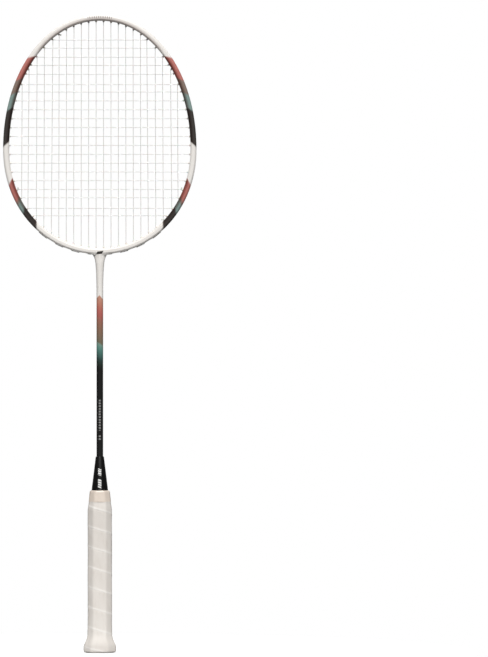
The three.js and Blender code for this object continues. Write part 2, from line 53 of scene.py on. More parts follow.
hoop_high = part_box("hoop")[1]
HEAD_HALF = hoop_high.x
HEAD_TOP = hoop_high.z
HEAD_WIDEST = 533 * MM
HEAD_BOTTOM = 421.5 * MM
HEAD_ROUNDNESS = 2.05  # exponent of the superellipse, where 2 is an ellipse
TUBE_OUT = 3.2 * MM
TUBE_BACK = hoop_high.y
TUBE_BEVEL = 1.6 * MM
TUBE_SHARPNESS = 34
GROOVE_DEPTH = 1.7 * MM
GROOVE_EDGE = math.radians(27)
GROOVE_LIP = math.radians(4)
GROOVE_RUNS_OUT = (7.2 * MM, 8.8 * MM)  # distances from the middle of the throat

STRING_RADIUS = 0.35 * MM
MAIN_PITCH = 8.3 * MM
MAINS_EACH_SIDE = 11
CROSS_PITCH = 9.67 * MM
CROSSES = 21
LOWEST_CROSS = 459.4 * MM
SHARE_HOLE = 4.0 * MM  # strings nearer than this share a hole
STRING_OFFSET = 0.39 * MM  # mains leave the holes in front of the mid-plane, crosses behind it
HOLE_LEAN = 4.1 * MM
TIP_OUT = -TUBE_OUT - 1.4 * MM  # where a grommet's barrel ends, inside the hoop
RIBBON_LOW = TUBE_OUT - GROOVE_DEPTH + 0.05 * MM
RIBBON_HIGH = RIBBON_LOW + 0.6 * MM
PAD_LOW, PAD_HIGH = 1.2 * MM, 0.25 * MM  # height of a grommet's head beside the neck and above
PAD_SINKS = (60 * MM, 84 * MM)

THROAT_HALF = 16.6 * MM
GUSSET = 1.7 * MM
GUSSET_ENDS = (1.5 * MM, 13 * MM)
NECK_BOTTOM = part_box("throat")[0].z
NECK_SIDES = 96
NECK_REACH = 8.6 * MM
NECK_SWELL = 31.4 * MM
NECK_STACK = 0.9  # share of the swell at which the ellipses give way to the fillet
shaft_low, shaft_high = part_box("shaft")
SHAFT_RADIUS = shaft_high.x
cone_low, cone_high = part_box("cone")
tape_low, tape_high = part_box("grip_tape")
band_low, band_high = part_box("finishing_tape")
disc_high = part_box("butt_disc")[1]


# -------- meshes

def smooth(value, low, high):
    """0 below low, 1 above high, and 3t^2 - 2t^3 between them."""
    t = np.clip((value - low) / (high - low), 0, 1)
    return t * t * (3 - 2 * t)


def unit(vectors):
    return vectors / np.linalg.norm(vectors, axis=-1, keepdims=True)


def around(sides):
    """The angles of a full turn, in equal steps."""
    return np.arange(sides) / sides * 2 * np.pi


def placed(name, data):
    """A new object of the scene."""
    thing = bpy.data.objects.new(name, data)
    bpy.context.scene.collection.objects.link(thing)
    return thing


class Shell:
    """A mesh put together from grids of points, each closed round its columns."""

    def __init__(self, name):
        self.name = name
        self.points, self.quads, self.fans = [], [], []
        self.quad_uv, self.fan_uv = [], []
        self.count = 0

    def add(self, grid, uv=None, ring=False):
        """Adds a grid [rows, columns, 3] whose columns go round. Its first and last rows are closed
        by fans, or joined to each other if ring is true. uv has one more column than the grid."""
        rows, columns = grid.shape[:2]
        if uv is None:
            v, u = np.meshgrid(np.arange(rows), np.arange(columns + 1) / columns, indexing="ij")
            uv = np.stack([u, v / max(rows - 1, 1)], axis=-1)
        if inside_out(grid, ring):
            grid = np.roll(grid[:, ::-1], 1, axis=1)
            uv = uv[:, ::-1]
        first = np.arange(rows if ring else rows - 1)[:, None]
        column = np.arange(columns)[None, :]
        upper, right = (first + 1) % rows, column + 1
        corners = [(first, column), (first, right), (upper, right), (upper, column)]
        quads = [r * columns + c % columns + self.count for r, c in corners]
        self.quads.append(np.stack(quads, axis=-1).reshape(-1, 4))
        self.quad_uv.append(np.stack([uv[r, c] for r, c in corners], axis=2).reshape(-1, 4, 2))
        self.points.append(grid.reshape(-1, 3))
        self.count += rows * columns
        if not ring:
            start = self.count
            self.close(grid[0], uv[0], start - rows * columns, -1)
            self.close(grid[-1], uv[-1], start - columns, 1)
        return self

    def close(self, row, uv, start, turn):
        """Closes a row with a fan of triangles round its middle."""
        columns = len(row)
        here = np.arange(columns)
        after = (here + 1) % columns
        middle = np.full(columns, self.count)
        self.points.append(row.mean(axis=0)[None])
        self.count += 1
        corners = [middle, here + start, after + start][::turn]
        self.fans.append(np.stack(corners, axis=1))
        centre = np.repeat(uv.mean(axis=0)[None], columns, axis=0)
        self.fan_uv.append(np.stack([centre, uv[here], uv[here + 1]][::turn], axis=1))

    def finish(self, material, node, slot, sharp=40):
        """Makes the object. It rides on the root, and the CAD node named is hidden."""
        points = np.concatenate(self.points)
        fans = np.concatenate(self.fans or [np.zeros((0, 3), int)])
        faces = np.concatenate(self.quads).tolist() + fans.tolist()
        mesh = bpy.data.meshes.new(self.name)
        mesh.from_pydata(points.tolist(), [], faces)
        uv = [part.reshape(-1, 2) for part in self.quad_uv + self.fan_uv]
        layer = mesh.uv_layers.new(name="surface")
        layer.data.foreach_set("uv", np.concatenate(uv).astype(np.float32).ravel())
        mesh.polygons.foreach_set("use_smooth", np.ones(len(mesh.polygons), bool))
        mesh.set_sharp_from_angle(angle=math.radians(sharp))
        mesh.materials.append(material)
        piece = placed(self.name, mesh)
        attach(piece, "root")
        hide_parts(node)


def inside_out(grid, ring):
    """True if the volume inside the grid's faces, each taken as (a x b) . c / 6, is negative."""
    right = np.roll(grid, -1, axis=1)
    upper = np.roll(grid, -1, axis=0)
    diagonal = np.roll(right, -1, axis=0)
    middle = grid.mean(axis=(0, 1))
    rows = len(grid) if ring else len(grid) - 1
    a, b, c, d = [(part - middle)[:rows] for part in (grid, right, diagonal, upper)]
    return (np.cross(a, b) * c + np.cross(a, c) * d).sum() < 0


def carried(path, across, up, profile):
    """A profile carried along a path: path + x times across + y times up, for each profile point.
    The profile is one list of (x, y), or one list for each point of the path. The directions are
    the same all along it, or given for each point."""
    x, y = profile[..., :1], profile[..., 1:]
    return path[:, None] + x * across[..., None, :] + y * up[..., None, :]


def circle(radius, sides):
    turn = around(sides)
    return radius * np.stack([np.cos(turn), np.sin(turn)], axis=-1)


def polar(turn, radius, z):
    """Points from their angle, radius and height."""
    parts = np.broadcast_arrays(radius * np.cos(turn), radius * np.sin(turn), z)
    return np.stack(parts, axis=-1)


def turned(profile, sides=96):
    """A surface of revolution about Z: each (radius, z) point of the profile becomes a circle."""
    radius, z = np.asarray(profile, float).T[..., None]
    return polar(around(sides), radius, z)


def rounded(corners, radii, steps=6):
    """A line through corners, each replaced by an arc that touches both of its straight sides."""
    corners = np.asarray(corners, float)
    radii = np.broadcast_to(np.asarray(radii, float), len(corners))[:, None]
    back = unit(np.roll(corners, 1, axis=0) - corners)
    on = unit(np.roll(corners, -1, axis=0) - corners)
    half = np.arccos(np.clip((back * on).sum(axis=1), -1, 1))[:, None] / 2
    centre = corners + unit(back + on) * radii / np.sin(half)
    start = unit(corners + back * radii / np.tan(half) - centre)
    end = unit(corners + on * radii / np.tan(half) - centre)
    sweep = (np.pi - 2 * half)[:, None]
    share = np.linspace(0, 1, steps)[None, :, None]
    from_start, from_end = np.sin((1 - share) * sweep), np.sin(share * sweep)
    turn = (from_start * start[:, None] + from_end * end[:, None]) / np.sin(sweep)
    return (centre[:, None] + radii[:, None] * turn).reshape(-1, 2)


def flats_radius(turn, distance, sharpness):
    """The polar radius of a rounded octagon: the inverse of the p-norm of cos(turn - a) / d over
    flats that lie at distance d in direction a. A higher p makes sharper corners."""
    turn = np.asarray(turn)[..., None]
    facing = around(8)
    reach = np.maximum(np.cos(turn - facing), 1e-6) / distance
    return (reach ** sharpness).sum(axis=-1) ** (-1 / sharpness)


# -------- the line of the head

def head_line():
    """Two half superellipses, |x/a|^n + |z/b|^n = 1 with one b above the widest place and another
    below it, walked from the throat up the +X side and down the -X side."""
    fine, steps = 14401, 2881
    turn = np.linspace(-0.5, 1.5, fine) * np.pi
    bend = 2 / HEAD_ROUNDNESS
    c, s = np.cos(turn), np.sin(turn)
    above = HEAD_TOP - TUBE_OUT - HEAD_WIDEST
    below = HEAD_WIDEST - HEAD_BOTTOM - TUBE_OUT
    x = (HEAD_HALF - TUBE_OUT) * np.sign(c) * np.abs(c) ** bend
    z = HEAD_WIDEST + np.where(s > 0, above, below) * np.sign(s) * np.abs(s) ** bend
    walk = np.concatenate([[0], np.cumsum(np.hypot(np.diff(x), np.diff(z)))])
    even = np.linspace(0, walk[-1], steps)
    x, z = np.interp(even, walk, x), np.interp(even, walk, z)
    along = unit(np.stack([np.gradient(x), np.gradient(z)], axis=-1))
    along[0] = along[-1] = [1, 0]
    return even, np.stack([x, z, along[:, 1], -along[:, 0]])


LINE_WALK, LINE = head_line()
HEAD_LENGTH = LINE_WALK[-1]


def on_head(walk, out=0.0, back=0.0):
    """The point walk round the hoop from the throat, out beyond its centreline and back behind its
    mid-plane. A negative walk goes up the -X side."""
    x, z, normal_x, normal_z = [np.interp(np.mod(walk, HEAD_LENGTH), LINE_WALK, row) for row in LINE]
    parts = np.broadcast_arrays(x + out * normal_x, back, z + out * normal_z)
    return np.stack(parts, axis=-1)


def outward(walk):
    """The direction straight out from the head's centreline."""
    return on_head(walk, 1.0) - on_head(walk)


def from_throat(walk):
    """The distance from the middle of the throat, the same up both sides."""
    return np.minimum(np.mod(walk, HEAD_LENGTH), np.mod(-walk, HEAD_LENGTH))


def walks_at(axis, value):
    """The walks up the +X side at which the centreline crosses x or z = value."""
    half = LINE_WALK < HEAD_LENGTH / 2
    walk, line = LINE_WALK[half], LINE[axis][half] - value
    hit = np.nonzero(line[:-1] * line[1:] <= 0)[0]
    share = line[hit] / (line[hit] - line[hit + 1])
    return walk[hit] + share * (walk[hit + 1] - walk[hit])


# -------- holes

def string_ends():
    """(walk, string) for every string end on the +X side, in order from the throat."""
    ends = []
    for k in range(1, MAINS_EACH_SIDE + 1):
        walks = walks_at(0, (k - 0.5) * MAIN_PITCH)
        ends += [(walks[0], ("main", k, "bottom")), (walks[-1], ("main", k, "top"))]
    for k in range(1, CROSSES + 1):
        ends.append((walks_at(1, LOWEST_CROSS + (k - 1) * CROSS_PITCH)[0], ("cross", k)))
    return sorted(ends)


def holes_of_side(side):
    """Strings that meet the hoop closer than SHARE_HOLE pass through one hole between them. The
    hole nearest the neck leans, so that its string comes out beside the neck."""
    groups = []
    for walk, string in string_ends():
        if groups and len(groups[-1]) == 1 and walk - groups[-1][0][0] < SHARE_HOLE:
            groups[-1].append((walk, string))
        else:
            groups.append([(walk, string)])
    holes = []
    for group in groups:
        walks, strings = zip(*group)
        middle = sum(walks) / len(walks)
        lean = HOLE_LEAN if strings[0] == ("main", 1, "bottom") else 0
        holes.append({"inner": side * middle, "outer": side * (middle + lean), "strings": strings})
    return holes


HOLES = {"right": holes_of_side(1), "left": holes_of_side(-1)}


def pad_height(walk):
    """The grommet heads stand proud of the hoop below, and sink into its groove further up."""
    return PAD_HIGH + (PAD_LOW - PAD_HIGH) * (1 - smooth(np.abs(walk), *PAD_SINKS))


def loop_out(walk):
    return RIBBON_HIGH + pad_height(walk) + STRING_RADIUS


def hole_of(side, *string):
    return next(hole for hole in HOLES[side] if string in hole["strings"])


def in_hole(hole, out, back=0.0):
    """The point of a hole's axis that is about out beyond the centreline. A leaning hole stops
    leaning where it leaves the tube on the inside."""
    depth = out + TUBE_OUT
    share = np.asarray(np.maximum(depth, 0) / (RIBBON_HIGH + TUBE_OUT))[..., None]
    inner = on_head(hole["inner"], np.minimum(depth, 0) - TUBE_OUT)
    outer = on_head(hole["outer"], RIBBON_HIGH)
    return inner + share * (outer - inner) + np.asarray(back)[..., None] * BACK


# -------- hoop and throat

def tube_angles():
    """Angles round the section, close together at the two lips of the groove."""
    lips = np.linspace(-1, 1, 12) * math.radians(4.5)
    plain = np.radians(np.arange(33, 329, 4.5))
    floor = np.radians(np.linspace(-20, 20, 7))
    lip = GROOVE_EDGE - math.radians(2.2)
    return np.sort(np.concatenate([plain, floor, lip + lips, -lip + lips]))


def tube_profile(turn):
    """The plain section, four flats and four bevels, at angles round it, in (out, back)."""
    bevel = (TUBE_OUT + TUBE_BACK - TUBE_BEVEL) / math.sqrt(2)
    flats = np.array([TUBE_OUT, bevel, TUBE_BACK, bevel] * 2)
    radius = flats_radius(turn, flats, TUBE_SHARPNESS)
    return radius[..., None] * np.stack([np.cos(turn), np.sin(turn)], axis=-1)


def grooved_profile(walk):
    """The section at each walk: the plain one, less the groove's depth between its two lips. The
    groove runs out beside the neck."""
    turn = tube_angles()
    profile = np.repeat(tube_profile(turn)[None], len(walk), axis=0)
    inside = smooth(GROOVE_EDGE - np.abs(turn), 0, GROOVE_LIP)
    deep = smooth(from_throat(walk), *GROOVE_RUNS_OUT)
    profile[..., 0] -= GROOVE_DEPTH * deep[:, None] * inside[None]
    return profile


def gusset(walk, out):
    """How far the tube bulges out beside the neck: it fades along the tube, and with the fourth
    power of the place across its outer half."""
    return GUSSET * (1 - smooth(np.abs(walk), *GUSSET_ENDS)) * np.clip(out / TUBE_OUT, 0, 1) ** 4


def tube_stretch(start, end, step):
    """A length of the tube. Its UV map holds metres: the distance from the middle of the throat,
    and the distance out from the centreline."""
    walk = np.linspace(start, end, int((end - start) / step) + 1)
    profile = grooved_profile(walk)
    profile[..., 0] += gusset(walk[:, None], profile[..., 0])
    grid = carried(on_head(walk), outward(walk), BACK, profile)
    closed = np.concatenate([profile, profile[:, :1]], axis=1)
    uv = np.stack(np.broadcast_arrays(from_throat(walk)[:, None], closed[..., 0]), axis=-1)
    return grid, uv


def make_hoop(material):
    grid, uv = tube_stretch(THROAT_HALF, HEAD_LENGTH - THROAT_HALF, 1.0 * MM)
    Shell("painted_hoop").add(grid, uv).finish(material, "hoop", "frame_lacquer", sharp=60)


def neck_ring(rise):
    """The neck's ellipse at a share of its swell: half width r + 0.55 t^1.4 + 0.95 t^3 mm, half
    depth r + 0.35 t + 0.55 t^2 mm."""
    turn = around(NECK_SIDES)
    half = SHAFT_RADIUS + (0.55 * rise ** 1.4 + 0.95 * rise ** 3) * MM
    deep = SHAFT_RADIUS + (0.35 * rise + 0.55 * rise ** 2) * MM
    height = np.full(NECK_SIDES, NECK_BOTTOM + rise * NECK_SWELL)
    return np.stack([half * np.cos(turn), deep * np.sin(turn), height], axis=-1)


def neck_rings():
    """The neck in two stretches. The first is a stack of ellipses that swell from the shaft. The
    second is a cubic curve for each direction round it, from the top ellipse to a saddle-shaped
    line just under the tube's skin. It leaves the one upwards, and meets the other along the
    tube at its sides and over the tube at its front and back."""
    turn = around(NECK_SIDES)
    c, s = np.cos(turn)[:, None], np.sin(turn)[:, None]
    stack = np.stack([neck_ring(rise) for rise in np.linspace(0, NECK_STACK, 16)])
    small = 1e-3
    up, along_tube, over_tube = 7 * MM, 8 * MM, 6 * MM  # lengths of the curve's tangents
    wrapped, sunk = 0.88, 0.99  # shares of the way round the tube, and of its radius
    leave = (neck_ring(NECK_STACK) - neck_ring(NECK_STACK - small)) / (small * NECK_SWELL) * up
    out_turn = wrapped * np.arctan2(np.sin(turn), np.abs(np.cos(turn)))
    walk = NECK_REACH * np.cos(turn)
    skin = tube_profile(out_turn) * sunk
    end = on_head(walk, skin[:, 0] + gusset(walk, skin[:, 0]), skin[:, 1])
    along = unit(on_head(walk + small * MM) - on_head(walk))
    tube_c, tube_s = np.cos(out_turn)[:, None], np.sin(out_turn)[:, None]
    round_tube = -TUBE_OUT * np.abs(tube_s) * outward(walk) + TUBE_BACK * tube_c * np.sign(s) * BACK
    arrive = along * c * along_tube + unit(round_tube + 1e-9) * np.abs(s) * over_tube
    t = np.linspace(0, 1, 21)[1:, None, None]
    from_stack = (2 * t**3 - 3 * t**2 + 1) * stack[-1] + (t**3 - 2 * t**2 + t) * leave
    to_tube = (3 * t**2 - 2 * t**3) * end + (t**3 - t**2) * arrive
    inner = 0.5 * end[None] + 0.5 * np.array([0, 0, HEAD_BOTTOM + TUBE_OUT])
    return np.concatenate([stack, from_stack + to_tube, inner])


def make_throat(material):
    grid, uv = tube_stretch(-THROAT_HALF, THROAT_HALF, 0.6 * MM)
    shell = Shell("throat_piece").add(grid, uv).add(neck_rings())
    shell.finish(material, "throat", "throat_lacquer", sharp=60)


# -------- shaft and cone

def make_shaft(material):
    chamfer = 0.4 * MM
    z = np.concatenate([[shaft_low.z], np.linspace(shaft_low.z + chamfer, NECK_BOTTOM, 120)])
    radius = np.full(len(z), SHAFT_RADIUS)
    radius[0] -= chamfer
    grid = turned(np.stack([radius, z], axis=-1), 64)
    Shell("shaft_tube").add(grid).finish(material, "shaft", "shaft_lacquer")


def make_cone(material):
    """A straight cone with a rounded nose and a rolled rim at its foot, turned about Z."""
    bore, foot, nose = SHAFT_RADIUS + 0.1 * MM, cone_high.x, 4.35 * MM
    low, high, wall = cone_low.z, cone_high.z, 1.6 * MM
    outline = [
        (bore, low + 5 * MM), (foot - wall, low + 1 * MM), (foot - wall, low), (foot, low),
        (foot, low + 1.1 * MM), (foot - 0.15 * MM, low + 1.5 * MM), (nose, high), (bore, high),
    ]
    radii = np.array([0.05, 0.1, 0.2, 0.45, 0.4, 0.5, 0.35, 0.05]) * MM
    shell = Shell("cone").add(turned(rounded(outline, radii)), ring=True)
    shell.finish(material, "cone", "cone_plastic")


# -------- handle

GRIP_PITCH = 21.3 * MM
GRIP_SEAM = 44.0 * MM  # height of a seam in the middle of the front
TAPE_WIDTH = 24.6 * MM
TAPE_THICKNESS = 1.7 * MM
GRIP_SHARPNESS = 22
GRIP_SIDE, GRIP_FRONT, GRIP_BEVEL = 12.75, 11.1, 12.62  # mm from the axis to the grip's flats


def grip_flats(z):
    """Distances of the eight flats of the wrapped grip at height z: parallel up to the shoulder,
    drawn in above it, and flared at the butt, where the flare dies away as a power of height. The
    butt's foot is rounded."""
    waist = 0.35 * (1 - smooth(z, 14 * MM, 34 * MM))
    flare = 4.1 * (1 - smooth(z, 5.5 * MM, 21 * MM)) ** 1.5 + waist
    front_flare = 3.0 * (1 - smooth(z, 7.5 * MM, 24 * MM)) ** 1.5 + waist
    rim = 1.4 * (1 - smooth(z, -0.8 * MM, 3.6 * MM)) ** 2
    shoulder = 1.25 * smooth(z, 150 * MM, 161 * MM)
    side = (GRIP_SIDE + flare - rim - shoulder) * MM
    front = (GRIP_FRONT + front_flare - rim - shoulder) * MM
    bevel = (GRIP_BEVEL + 0.51 * (flare + front_flare) - rim - shoulder) * MM
    return np.stack([side, bevel, front, bevel] * 2, axis=-1)


def grip_radius(turn, z):
    return flats_radius(turn, grip_flats(z), GRIP_SHARPNESS)


def seam_height(turn):
    """The tape's lower edge: it climbs one pitch in each turn, clockwise seen from above."""
    return GRIP_SEAM - GRIP_PITCH * (turn + np.pi / 2) / (2 * np.pi)


def make_grip(material):
    """One long tape carried round the grip along a helix. Across its width the outer face is lifted
    where it lies over the turn below, and sunk where the next turn covers it, by smooth steps.
    Both edges are skived thin. The tape is cut off level at the butt and at the top, so its two
    ends run out to points."""
    lap, tuck, soft, mean_radius = 0.16 * MM, 0.45 * MM, 0.2 * MM, 12.4 * MM
    low, high = tape_low.z, tape_high.z + 0.2 * MM
    first = -np.pi / 2 + 2 * np.pi * (GRIP_SEAM + TAPE_WIDTH - low) / GRIP_PITCH
    last = -np.pi / 2 - 2 * np.pi * (high - GRIP_SEAM) / GRIP_PITCH
    turn = np.linspace(first - 0.05, last + 0.05, 1350)[:, None]
    seam = seam_height(turn)
    start = np.maximum(seam, low)
    end = np.minimum(seam + TAPE_WIDTH, high)
    lower = [0, 0.006, 0.014, 0.025, 0.04, 0.06]
    middle = [np.linspace(0.085, 0.24, 8), np.linspace(0.3, 0.86, 10)]
    across = np.concatenate([lower, *middle, [0.9, 0.94, 0.97, 1]])
    z = start + (end - start) * across[None]
    climbed = z - seam
    lift = lap * (1 - smooth(climbed, 0.6 * MM, 3.2 * MM))
    under = seam > low + 0.01 * MM
    tucked = smooth(climbed, GRIP_PITCH - 0.1 * MM, GRIP_PITCH + 1.2 * MM)
    lift = np.where(under, lift, 0) - tuck * tucked * (seam + GRIP_PITCH < high)
    wave = 0.06 * MM * np.sin(3.1 * turn + 140 * z) + 0.05 * MM * np.sin(7.3 * turn - 0.9)
    wave *= smooth(climbed, 0, 3 * MM) * (1 - smooth(climbed, GRIP_PITCH - 3 * MM, GRIP_PITCH))
    round_edge = soft * (1 - smooth(across, -0.004, 0.03))[None]
    outer = grip_radius(turn, z) + lift + wave - round_edge
    skived = TAPE_THICKNESS * (0.35 + 0.65 * smooth(np.minimum(across, 1 - across), 0, 0.09))[None]
    inner = outer - skived + round_edge * 0.5
    grid = np.concatenate([polar(turn, outer, z), polar(turn, inner, z)[:, ::-1]], axis=1)
    length = np.broadcast_to((first - turn) * mean_radius, z.shape)
    flat = np.stack([length, climbed], axis=-1)
    uv = np.concatenate([flat, flat[:, ::-1], flat[:, :1]], axis=1)
    Shell("grip_wrap").add(grid, uv).finish(material, "grip_tape", "grip_tape", sharp=50)


def make_finishing_tape(material):
    """Two and a half turns of thin tape round the shoulder of the grip. Its top edge is rounded over
    the shoulder by a quarter ellipse, and then lies flat as far as the foot of the cone."""
    turns, thickness, corner = 2.6, 0.13 * MM, 0.8 * MM
    turn = np.linspace(0, -2 * np.pi * turns, 500)[:, None]
    across = np.linspace(0, 1, 40)[None]
    drift = 0.35 * MM * smooth(-turn, 6, 9)
    low = band_low.z - 0.6 * MM + drift
    edge = band_high.z - 1.6 * MM
    upright = np.clip(across / 0.6, 0, 1)
    bend = np.clip((across - 0.6) / 0.25, 0, 1) * np.pi / 2
    lip = np.clip((across - 0.85) / 0.15, 0, 1)
    wound = 0.12 * MM * (-turn) / (2 * np.pi)
    z = low + (edge - low) * upright + (2.0 * MM + wound) * np.sin(bend)
    inset = corner * (1 - np.cos(bend))
    rise = (z - band_low.z) / (band_high.z - band_low.z)
    sides, fronts, bevels = 11.45 - 1.15 * rise, 10.1 - 0.45 * rise, 10.98 - 0.75 * rise
    base = np.stack([sides, bevels, fronts, bevels] * 2, axis=-1)
    radius = flats_radius(turn, base * MM, GRIP_SHARPNESS)
    wave = 0.03 * MM * np.sin(9 * turn + 5 * rise) * np.sin(3 * rise)
    upper = radius + wound * np.cos(bend) + wave - inset
    outer = upper * (1 - lip) + (cone_high.x - 0.05 * MM) * lip
    inner = outer - thickness * np.cos(bend)
    inner_z = z - thickness * np.sin(bend)
    grid = np.concatenate([polar(turn, outer, z), polar(turn, inner, inner_z)[:, ::-1]], axis=1)
    Shell("finishing_band").add(grid).finish(material, "finishing_tape", "finishing_tape")


def make_butt_cap(material):
    """The octagonal cap, rounded at its foot, with the shallow recess that the disc lies in."""
    turn = around(144)[None]
    z = np.array([0, 0.15, 0.5, 1.0, 1.8, 4, 6.5, 8, 10, 12, 14, 16, 18, 20, 22])[:, None] * MM
    inset = 1.9 * MM + 0.9 * MM * (1 - smooth(z, -0.2 * MM, 1.2 * MM)) ** 2
    outside = grip_radius(turn, np.maximum(z, 3 * MM)) - inset
    gap, chamfer = 0.3 * MM, 0.15 * MM
    recess = disc_high.x + gap
    rings = [(recess, disc_high.z + gap), (recess, 0.1 * MM), (recess + chamfer, 0.0)]
    grid = np.concatenate([polar(turn, *ring) for ring in rings] + [polar(turn, outside, z)])
    Shell("butt_shell").add(grid).finish(material, "butt_cap", "cap_plastic")


def make_butt_disc(material):
    """A thin disc with a small rounded edge and a shallow groove round its face."""
    radius, thick, edge, middle = disc_high.x, disc_high.z, 0.15 * MM, 0.01 * MM
    outline = [
        (middle, 0), (radius - 1.6 * MM, 0), (radius - 1.3 * MM, 0.12 * MM), (radius - 1.0 * MM, 0),
        (radius - edge, 0), (radius, edge), (radius, thick), (middle, thick),
    ]
    Shell("butt_badge").add(turned(outline)).finish(material, "butt_disc", "disc_film")


# -------- grommets

def make_grommet_strip(name, holes, material):
    """A ribbon carried along the groove, thickened into a head at each hole, with an oval barrel
    through the hoop at each hole."""
    walks = np.array([hole["outer"] for hole in holes])
    end, step, corner = 2.8 * MM, 0.45 * MM, 0.25 * MM
    low, high = walks.min() - end, walks.max() + end
    walk = np.linspace(low, high, int((high - low) / step))
    near = np.abs(walk[:, None] - walks[None]).min(axis=1)
    head = 1 - smooth(near, 1.9 * MM, 3.0 * MM)
    top = RIBBON_HIGH - corner + (pad_height(walk) + corner) * head
    wide = (1.05 + 0.25 * head) * MM
    floor = np.full(len(walk), RIBBON_LOW)
    x = np.stack([floor, floor, top - corner, top, top, top - corner], axis=1)
    y = np.stack([-wide, wide, wide, wide - corner, corner - wide, -wide], axis=1)
    shell = Shell(name).add(carried(on_head(walk), outward(walk), BACK, np.stack([x, y], axis=-1)))
    for hole in holes:
        shell.add(barrel(hole), ring=True)
    shell.finish(material, name, "grommet_nylon")


def barrel(hole):
    """An oval tube along the hole's axis, whose mouth inside the hoop is rounded."""
    top = 1.6 * MM
    out = np.concatenate([[top], TIP_OUT + np.array([0.45, 0.12, 0, 0.1, 0.5]) * MM, [top]])
    swell = np.array([0.52, 0.52, 0.6, 0.78, 0.98, 1.05, 1.05]) * MM
    axis = in_hole(hole, out)
    along = unit(axis[1] - axis[3])
    profile = swell[:, None, None] * circle(1.0, 14)[None]
    profile[..., 1] += np.sign(profile[..., 1]) * 0.28 * MM
    return carried(axis, np.cross(BACK, along), BACK, profile)


def make_grommets(material):
    strips = 6
    for side, holes in HOLES.items():
        for k in range(strips):
            cut = [round(n * len(holes) / strips) for n in (k, k + 1)]
            make_grommet_strip(f"grommet_strip_{side}_{k + 1}", holes[cut[0]:cut[1]], material)


# -------- strings

BEND = 0.75 * MM  # radius of a string's turn from a hole into the groove
KNOT_TURNS = 2
KNOT_RADIUS = 0.6 * MM


def loop_half(hole, forward, back):
    """Out of a hole and round a quarter circle into the groove."""
    top = loop_out(hole["outer"])
    leg = in_hole(hole, np.linspace(TIP_OUT, top - BEND, 9), back)
    turn = np.linspace(0, np.pi / 2, 7)[1:]
    walk = hole["outer"] + forward * BEND * (1 - np.cos(turn))
    arc = on_head(walk, top - BEND + BEND * np.sin(turn), back)
    return np.concatenate([leg, arc])


def loop(start, end, back):
    """The string's way from inside one hole, along the groove, to inside the next."""
    first, last = start["outer"], end["outer"]
    forward = np.sign(last - first)
    steps = max(int(abs(last - first) / (1.2 * MM)), 4)
    walk = np.linspace(first + forward * BEND, last - forward * BEND, steps + 2)[1:-1]
    between = np.linspace(loop_out(first), loop_out(last), steps + 2)[1:-1]
    out_of, into = loop_half(start, forward, back), loop_half(end, -forward, back)[::-1]
    return np.concatenate([out_of, on_head(walk, between, back), into])


MAIN_NUMBERS = [("left", k) for k in range(MAINS_EACH_SIDE, 0, -1)]
MAIN_NUMBERS += [("right", k) for k in range(1, MAINS_EACH_SIDE + 1)]
MAIN_LINES = np.array([
    [in_hole(hole_of(side, "main", k, end), TIP_OUT) for end in ("bottom", "top")]
    for side, k in MAIN_NUMBERS
])
CROSS_LINES = np.array([
    [in_hole(hole_of(side, "cross", k), TIP_OUT) for side in ("left", "right")]
    for k in range(1, CROSSES + 1)
])


def area(p, q):
    """The area between two directions in the plane of the head."""
    return p[..., 0] * q[..., 2] - p[..., 2] * q[..., 0]


def crossings():
    """Where each main meets each cross: the shares s of the main and t of the cross at which the
    two straight lines meet, solved for all pairs at once."""
    a, b = MAIN_LINES[:, None, 0], MAIN_LINES[:, None, 1]
    c, d = CROSS_LINES[None, :, 0], CROSS_LINES[None, :, 1]
    u, v, w = b - a, d - c, c - a
    return area(w, v) / area(u, v), area(w, u) / area(u, v)


MAIN_SHARE, CROSS_SHARE = crossings()
PHASE = (np.arange(len(MAIN_LINES))[:, None] + np.arange(CROSSES)[None]) % 2


def woven(ends, shares, phase, height, end_back):
    """A straight string that waves between its ends: back = height * cos(p), where p grows by half a
    turn from one crossing to the next, settling to end_back at both holes."""
    start, stop = ends
    length = np.linalg.norm(stop - start)
    near = 1.2 * MM / length
    inside = (shares > near) & (shares < 1 - near)
    at, phase = shares[inside], phase[inside]
    first = np.arange(len(at)) + phase[0]
    steps = max(int(length / (1.6 * MM)), 8)
    share = np.linspace(0, 1, steps + 1)
    wave = height * np.cos(np.pi * np.interp(share, at, first))
    held = 1 - smooth(np.minimum(share, 1 - share) * length, 0, 3.2 * MM)
    back = wave * (1 - held) + end_back * held
    return start + share[:, None] * (stop - start) + back[:, None] * BACK


def main_bed(n):
    return woven(MAIN_LINES[n], MAIN_SHARE[n], 1 - PHASE[n], 0.15 * MM, -STRING_OFFSET)


def cross_bed(k):
    return woven(CROSS_LINES[k - 1], CROSS_SHARE[:, k - 1], PHASE[:, k - 1], 0.57 * MM, STRING_OFFSET)


def knot(hole, beside, back):
    """The end of a string: a coil of two turns round BACK, beside the barrel's tip."""
    inner = hole["inner"]
    aside = inner + 1.35 * MM * np.sign(hole["outer"] - beside["outer"])
    centre = on_head(aside, TIP_OUT - 0.7 * MM, back)
    along, out = unit(on_head(aside) - on_head(inner)), unit(outward(inner))
    turn = np.linspace(0, KNOT_TURNS * 2 * np.pi, 49)[:, None]
    rise = np.linspace(0.7, 0.0, 49)[:, None] * MM * np.sign(back)
    return centre + KNOT_RADIUS * (np.cos(turn) * along + np.sin(turn) * out) + rise * BACK


def tail(side, hole, step, back):
    """A string's end: its knot at the next hole up or down the side, and its way from there to
    the hole where it goes through."""
    beside = HOLES[side][HOLES[side].index(hole) + step]
    return np.concatenate([knot(beside, hole, back), loop(beside, hole, back)[1:]])


